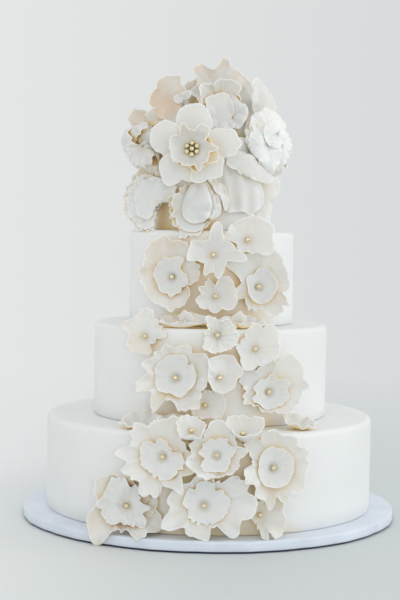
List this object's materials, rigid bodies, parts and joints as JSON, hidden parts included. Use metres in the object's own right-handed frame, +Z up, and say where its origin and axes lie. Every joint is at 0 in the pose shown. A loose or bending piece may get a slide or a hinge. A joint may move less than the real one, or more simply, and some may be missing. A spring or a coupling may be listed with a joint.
{
  "type": "tiered wedding cake",
  "caption": "Round tiered wedding cake in white sugar paste on a thin wrapped round board, with a cascade of ruffled sugar blossoms down the front and a crown of larger ones on top.",
  "frame": {"origin": "centre of the board's underside, which rests on the table", "axes": "+Z up through the middle of the tiers; the blossoms run down the front, which faces -Y; +X to the right as seen from the front"},
  "size_m": [0.4064, 0.4146, 0.5063],
  "materials": {
    "sugar_paste": "smooth matte rolled sugar paste",
    "petal_paste": "thin matte warm-white gum paste",
    "board_wrap": "satin pale lilac-blue wrap"
  },
  "bodies": {
    "root": {"bloom_01": "petal_paste", "bloom_02": "petal_paste", "bloom_03": "petal_paste", "bloom_04": "petal_paste", "bloom_05": "petal_paste", "bloom_06": "petal_paste", "bloom_07": "petal_paste", "bloom_08": "petal_paste", "bloom_09": "petal_paste", "bloom_10": "petal_paste", "bloom_11": "petal_paste", "bloom_12": "petal_paste", "bloom_13": "petal_paste", "bloom_14": "petal_paste", "bloom_15": "petal_paste", "bloom_16": "petal_paste", "bloom_17": "petal_paste", "bloom_18": "petal_paste", "bloom_19": "petal_paste", "bloom_20": "petal_paste", "board": "board_wrap", "crown_back": "petal_paste", "crown_back_left": "petal_paste", "crown_back_right": "petal_paste", "crown_ball_right": "petal_paste", "crown_bud": "petal_paste", "crown_cup_left": "petal_paste", "crown_cup_lower_left": "petal_paste", "crown_cup_top": "petal_paste", "crown_fold_lower_right": "petal_paste", "crown_hero": "petal_paste", "crown_mound": "sugar_paste", "crown_petal_left": "petal_paste", "crown_petal_right": "petal_paste", "crown_side_right": "petal_paste", "crown_top_back": "petal_paste", "crown_top_left": "petal_paste", "crown_top_right": "petal_paste", "crown_top_sheet": "petal_paste", "ledge_ruffle_1": "petal_paste", "ledge_ruffle_2": "petal_paste", "ledge_ruffle_3": "petal_paste", "ledge_ruffle_4": "petal_paste", "ledge_ruffle_5": "petal_paste", "tier_1": "sugar_paste", "tier_2": "sugar_paste", "tier_3": "sugar_paste", "tier_4": "sugar_paste"}
  },
  "joints": []
}
